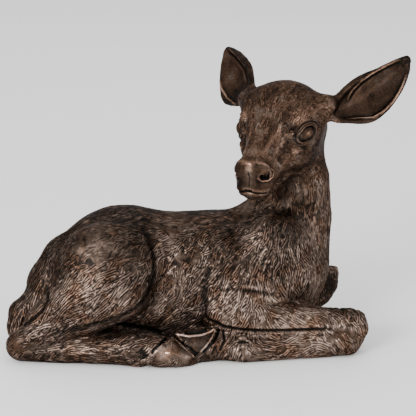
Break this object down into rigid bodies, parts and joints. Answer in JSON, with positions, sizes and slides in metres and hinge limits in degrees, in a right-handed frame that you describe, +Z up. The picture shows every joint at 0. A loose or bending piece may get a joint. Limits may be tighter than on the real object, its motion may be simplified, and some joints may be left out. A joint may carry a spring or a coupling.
{
  "type": "fawn statue",
  "caption": "Resting fawn with folded legs, upright neck and head turned back over its side, cast in aluminium with a dark bronze patina; lies on its own flat underside.",
  "frame": {"origin": "on the ground, on the flat underside below the middle of the trunk", "axes": "+X from the rump to the chest, along the body; +Y to the fawn's left side; +Z up"},
  "size_m": [0.5051, 0.2527, 0.3516],
  "materials": {
    "cast_aluminium": "dark bronze patina, rubbed back to a copper tone on the high spots"
  },
  "bodies": {
    "root": {"fawn": "cast_aluminium"}
  },
  "joints": []
}
